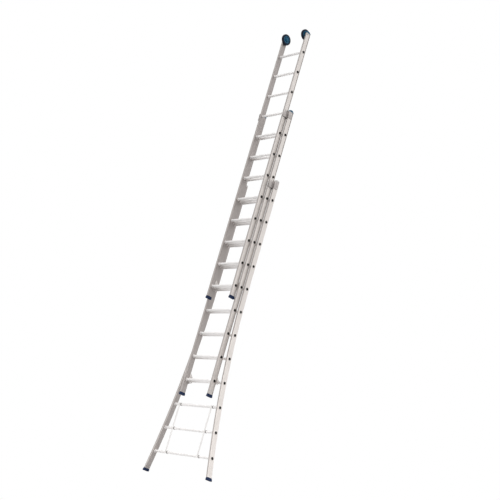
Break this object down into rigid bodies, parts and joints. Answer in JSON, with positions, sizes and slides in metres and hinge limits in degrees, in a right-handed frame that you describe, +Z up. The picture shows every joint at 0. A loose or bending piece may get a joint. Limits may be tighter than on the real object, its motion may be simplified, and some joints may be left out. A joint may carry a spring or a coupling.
{
  "type": "extension ladder",
  "caption": "Extension ladder of nested sliding sections with tubular rungs, a flared foot, hooks with spring latches and wheels that roll on a wall.",
  "frame": {"origin": "on the floor, at the centre of the box around the ladder seen from above", "axes": "+Z up along the straight stiles, +X along the rungs to the right of a climber, +Y from the climber towards the wall"},
  "size_m": [1.1068, 0.2266, 5.598],
  "materials": {
    "stile": "mill-finish extrusion",
    "rung": "bright drawn tube",
    "hook": "cast, satin",
    "steel": "zinc-plated sheet",
    "rivet": "satin",
    "blue_plastic": "moulded, semi-gloss",
    "pale_plastic": "moulded, matt",
    "nylon": "moulded, matt",
    "shoe": "moulded rubber",
    "tyre": "moulded rubber"
  },
  "bodies": {
    "base": {"base_bracket_left": "steel", "base_bracket_right": "steel", "base_cap_left": "pale_plastic", "base_cap_right": "pale_plastic", "base_guides": "nylon", "base_rivets": "rivet", "base_rung_01": "rung", "base_rung_02": "rung", "base_rung_03": "rung", "base_rung_04": "rung", "base_rung_05": "rung", "base_rung_06": "rung", "base_rung_07": "rung", "base_rung_08": "rung", "base_rung_09": "rung", "base_rung_10": "rung", "base_rung_11": "rung", "base_rung_12": "rung", "base_shoe_left": "shoe", "base_shoe_right": "shoe", "base_stile_left": "stile", "base_stile_right": "stile", "tie_strip_left": "rung", "tie_strip_right": "rung"},
    "mid": {"mid_bracket_left": "steel", "mid_bracket_right": "steel", "mid_cap_left": "blue_plastic", "mid_cap_right": "blue_plastic", "mid_guides": "nylon", "mid_hook_left": "hook", "mid_hook_right": "hook", "mid_latch_pins": "steel", "mid_rivets": "rivet", "mid_rungs": "rung", "mid_shoe_left": "shoe", "mid_shoe_right": "shoe", "mid_stile_left": "stile", "mid_stile_right": "stile"},
    "top": {"top_cap_left": "blue_plastic", "top_cap_right": "blue_plastic", "top_hook_left": "hook", "top_hook_right": "hook", "top_latch_pins": "steel", "top_rivets": "rivet", "top_rungs": "rung", "top_shoe_left": "shoe", "top_shoe_right": "shoe", "top_stile_left": "stile", "top_stile_right": "stile", "wheel_axles": "steel"},
    "wheel_left": {"hub_cap_left": "blue_plastic", "tyre_left": "tyre", "wheel_hub_left": "blue_plastic"},
    "wheel_right": {"hub_cap_right": "blue_plastic", "tyre_right": "tyre", "wheel_hub_right": "blue_plastic"},
    "mid_latch_left": {"mid_latch_left": "steel"},
    "mid_latch_right": {"mid_latch_right": "steel"},
    "top_latch_left": {"top_latch_left": "steel"},
    "top_latch_right": {"top_latch_right": "steel"}
  },
  "joints": [
    {"name": "mid_slide", "type": "slide", "parent": "base", "child": "mid", "axis": [0, 0, 1], "range_m": [-0.84, 1.4]},
    {"name": "top_slide", "type": "slide", "parent": "mid", "child": "top", "axis": [0, 0, 1], "range_m": [-1.12, 1.12]},
    {"name": "wheel_left_spin", "type": "hinge", "parent": "top", "child": "wheel_left", "pos_m": [-0.1665, -0.04325, 5.528], "axis": [1, 0, 0], "continuous": true},
    {"name": "wheel_right_spin", "type": "hinge", "parent": "top", "child": "wheel_right", "pos_m": [0.1665, -0.04325, 5.528], "axis": [1, 0, 0], "continuous": true},
    {"name": "mid_latch_left_swing", "type": "hinge", "parent": "mid", "child": "mid_latch_left", "pos_m": [-0.2122, 0.05275, 1.049], "axis": [1, 0, 0], "range_deg": [-65, 0], "stiffness_Nm_per_rad": 0.05, "springref_deg": 28.65},
    {"name": "mid_latch_right_swing", "type": "hinge", "parent": "mid", "child": "mid_latch_right", "pos_m": [0.2122, 0.05275, 1.049], "axis": [1, 0, 0], "range_deg": [-65, 0], "stiffness_Nm_per_rad": 0.05, "springref_deg": 28.65},
    {"name": "top_latch_left_swing", "type": "hinge", "parent": "top", "child": "top_latch_left", "pos_m": [-0.1752, -0.00425, 2.169], "axis": [1, 0, 0], "range_deg": [-65, 0], "stiffness_Nm_per_rad": 0.05, "springref_deg": 28.65},
    {"name": "top_latch_right_swing", "type": "hinge", "parent": "top", "child": "top_latch_right", "pos_m": [0.1752, -0.00425, 2.169], "axis": [1, 0, 0], "range_deg": [-65, 0], "stiffness_Nm_per_rad": 0.05, "springref_deg": 28.65}
  ]
}
